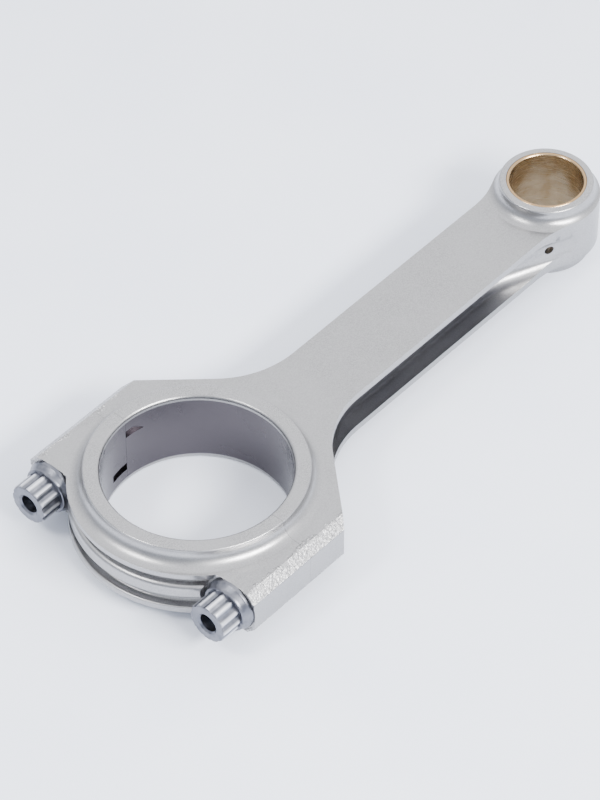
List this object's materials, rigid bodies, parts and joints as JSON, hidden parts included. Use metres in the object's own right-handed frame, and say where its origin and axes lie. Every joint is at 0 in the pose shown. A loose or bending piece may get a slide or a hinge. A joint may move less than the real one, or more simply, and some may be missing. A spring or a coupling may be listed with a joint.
{
  "type": "connecting rod",
  "caption": "Two-bolt H-beam engine connecting rod: split big end with a screwed-on cap, milled side channels and a bronze-bushed small end.",
  "frame": {"origin": "centre of the crank bore, halfway between the two thrust faces", "axes": "+X towards the small end, +Z along the crank bore's axis; the rod and cap meet on the plane X = 0"},
  "size_m": [0.2064, 0.0834, 0.025],
  "materials": {
    "rod_steel": "shot-peened satin with ground thrust faces",
    "bush_bronze": "fine-turned",
    "screw_steel": "dark oiled alloy steel with worn edges",
    "sleeve_steel": "ground"
  },
  "bodies": {
    "rod": {"rod_body": "rod_steel", "small_end_bush": "bush_bronze", "locating_sleeve_left": "sleeve_steel", "locating_sleeve_right": "sleeve_steel"},
    "cap": {"rod_cap": "rod_steel"},
    "screw_left": {"cap_screw_left": "screw_steel"},
    "screw_right": {"cap_screw_right": "screw_steel"}
  },
  "joints": [
    {"name": "cap_lift", "type": "slide", "parent": "rod", "child": "cap", "axis": [-1, 0, 0], "range_m": [0, 0.0169]},
    {"name": "screw_left_turn", "type": "hinge", "parent": "cap", "child": "screw_left", "pos_m": [-0.023, 0.0334, 0], "axis": [-1, 0, 0], "range_deg": [0, 5760]},
    {"name": "screw_right_turn", "type": "hinge", "parent": "cap", "child": "screw_right", "pos_m": [-0.023, -0.0334, 0], "axis": [-1, 0, 0], "range_deg": [0, 5760]}
  ],
  "couplings": [
    {"joint": "screw_left_turn", "follows": "cap_lift", "rad_per_m": 5936.9},
    {"joint": "screw_right_turn", "follows": "cap_lift", "rad_per_m": 5936.9}
  ]
}
